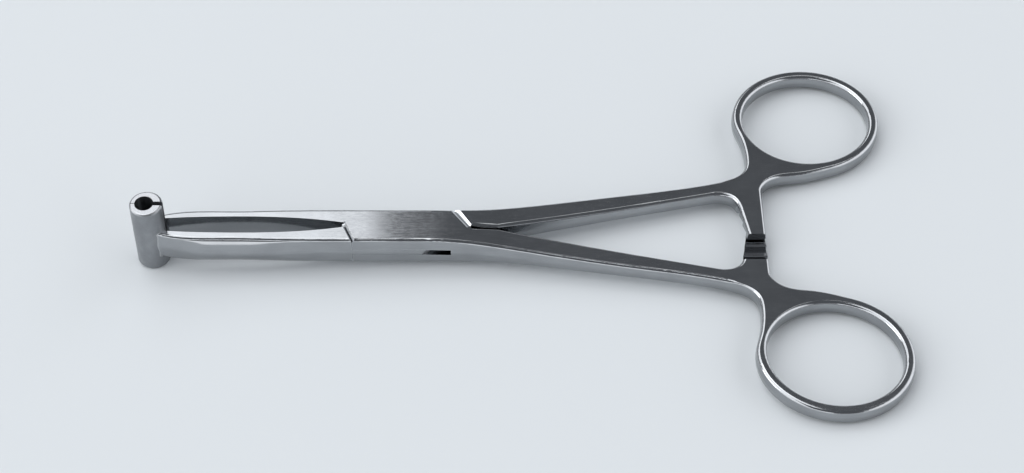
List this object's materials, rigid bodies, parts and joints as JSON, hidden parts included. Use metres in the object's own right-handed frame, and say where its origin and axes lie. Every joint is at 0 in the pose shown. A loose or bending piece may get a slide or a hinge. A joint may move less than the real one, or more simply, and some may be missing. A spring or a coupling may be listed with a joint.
{
  "type": "ring-handled forceps",
  "caption": "Box lock forceps with finger rings, a stepped ratchet and long bowed jaws that end in a split tube, which grips a rod or tube held across the tips.",
  "frame": {"origin": "on the axis of the split tube's bore, at the middle of the arms' thickness", "axes": "+X from the tube towards the finger rings, +Y across the arms towards the tongue arm's ring, +Z along the bore and the pivot pin"},
  "size_m": [0.1395, 0.0822, 0.015],
  "materials": {
    "arm_steel": "fine satin, softened bright along the rounded edges",
    "pin_steel": "ground flush and satin finished with the box",
    "tube_steel": "matt satin outside, bright ground end faces"
  },
  "bodies": {
    "box_half": {"box_arm": "arm_steel", "far_jaw_shell": "tube_steel", "pivot_pin": "pin_steel"},
    "tongue_half": {"tongue_arm": "arm_steel", "near_jaw_shell": "tube_steel"}
  },
  "joints": [
    {"name": "jaw_pivot", "type": "hinge", "parent": "box_half", "child": "tongue_half", "pos_m": [0.0484, 0, 0], "axis": [0, 0, 1], "range_deg": [0, 50]}
  ]
}
